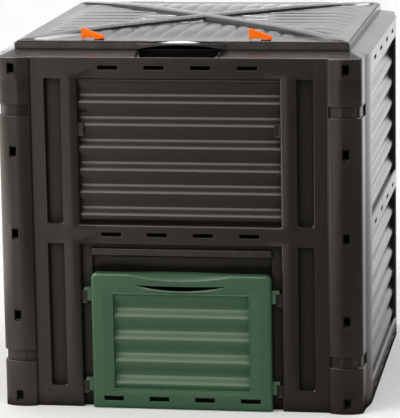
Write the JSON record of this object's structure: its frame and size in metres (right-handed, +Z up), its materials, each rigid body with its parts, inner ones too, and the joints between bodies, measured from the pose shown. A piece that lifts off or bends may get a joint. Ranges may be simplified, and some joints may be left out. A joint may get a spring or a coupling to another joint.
{
  "type": "compost bin with lid",
  "caption": "Square garden compost bin of louvred interlocking wall panels, with a ribbed hinged lid, turn latches and a lift-off hatch at the front.",
  "frame": {"origin": "on the ground, under the middle of the bin", "axes": "+Z up, the front wall with its hatch faces -Y, +X to the right seen from the front"},
  "size_m": [0.6046, 0.6208, 0.6132],
  "materials": {
    "wall_plastic": "satin moulded, fine grain",
    "lid_plastic": "satin moulded, fine grain",
    "hatch_plastic": "satin moulded",
    "pin_plastic": "smooth",
    "latch_plastic": "smooth satin"
  },
  "bodies": {
    "bin": {"front_panel": "wall_plastic", "back_panel": "wall_plastic", "left_panel": "wall_plastic", "right_panel": "wall_plastic", "hinge_pin_left": "pin_plastic", "hinge_pin_right": "pin_plastic"},
    "lid": {"lid": "lid_plastic"},
    "hatch": {"hatch_door": "hatch_plastic"},
    "latch_left": {"latch_knob_left": "latch_plastic", "latch_cam_left": "latch_plastic"},
    "latch_right": {"latch_knob_right": "latch_plastic", "latch_cam_right": "latch_plastic"}
  },
  "joints": [
    {"name": "lid_hinge", "type": "hinge", "parent": "bin", "child": "lid", "pos_m": [0, 0.272, 0.588], "axis": [-1, 0, 0], "range_deg": [0, 105]},
    {"name": "hatch_lift", "type": "slide", "parent": "bin", "child": "hatch", "axis": [0, 0.008, 1], "range_m": [0, 0.022]},
    {"name": "latch_turn_left", "type": "hinge", "parent": "lid", "child": "latch_left", "pos_m": [-0.1355, -0.248, 0.5952], "axis": [0, 0, 1], "range_deg": [0, 90]},
    {"name": "latch_turn_right", "type": "hinge", "parent": "lid", "child": "latch_right", "pos_m": [0.1355, -0.248, 0.5952], "axis": [0, 0, 1], "range_deg": [0, 90]}
  ]
}
